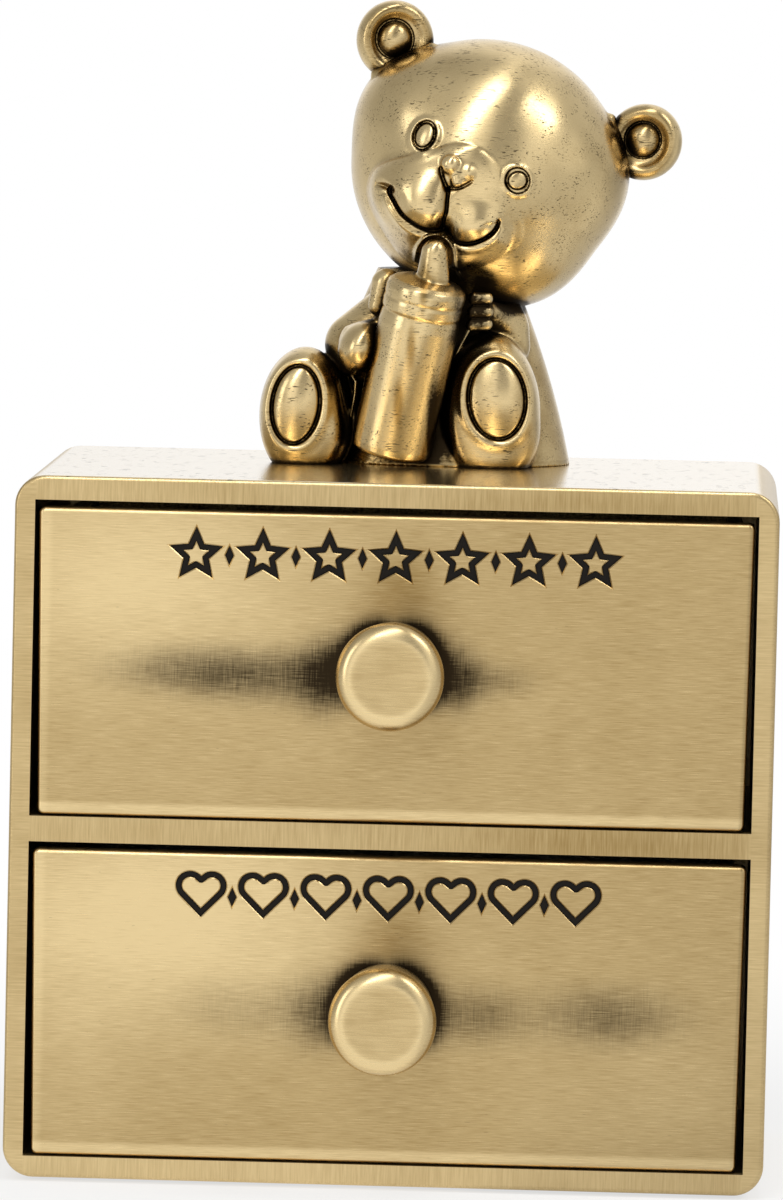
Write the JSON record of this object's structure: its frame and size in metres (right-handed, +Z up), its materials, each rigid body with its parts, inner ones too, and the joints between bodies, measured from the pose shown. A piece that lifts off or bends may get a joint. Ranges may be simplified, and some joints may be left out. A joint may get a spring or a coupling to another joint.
{
  "type": "baby tooth box",
  "caption": "Metal keepsake box with knobbed drawers, one above the other, and a seated teddy bear with a feeding bottle on the lid.",
  "frame": {"origin": "under the middle of the case, on the surface that the felt stands on", "axes": "+X to the right as one faces the drawers, +Y to the back, +Z up"},
  "size_m": [0.058, 0.0485, 0.0901],
  "materials": {
    "case_finish": "antique brass plate over a zinc casting, brushed across the rims, polished on the lid",
    "front_finish": "antique brass plate, brushed along the drawer, dark patina round the knob and in the sunk ornament",
    "tray_finish": "antique brass plate, dull",
    "knob_finish": "antique brass plate, turned and brushed",
    "bear_finish": "antique brass plate, hand relieved, with dark patina in the seams",
    "lining_velvet": "short velvet pile",
    "black_felt": "pressed felt",
    "screw_steel": "zinc plated"
  },
  "bodies": {
    "case": {"case": "case_finish", "back_panel": "case_finish", "base_felt": "black_felt", "bear_body": "bear_finish", "bear_head": "bear_finish", "bear_left_ear": "bear_finish", "bear_right_ear": "bear_finish", "bear_bottle": "bear_finish", "bear_screws": "screw_steel"},
    "upper_drawer": {"upper_drawer_tray": "tray_finish", "upper_drawer_front": "front_finish", "upper_drawer_lining": "lining_velvet", "upper_knob": "knob_finish", "upper_knob_screw": "screw_steel", "upper_knob_washer": "screw_steel"},
    "lower_drawer": {"lower_drawer_tray": "tray_finish", "lower_drawer_front": "front_finish", "lower_drawer_lining": "lining_velvet", "lower_knob": "knob_finish", "lower_knob_screw": "screw_steel", "lower_knob_washer": "screw_steel"}
  },
  "joints": [
    {"name": "upper_drawer_slide", "type": "slide", "parent": "case", "child": "upper_drawer", "axis": [0, -1, 0], "range_m": [0, 0.03]},
    {"name": "lower_drawer_slide", "type": "slide", "parent": "case", "child": "lower_drawer", "axis": [0, -1, 0], "range_m": [0, 0.03]}
  ]
}
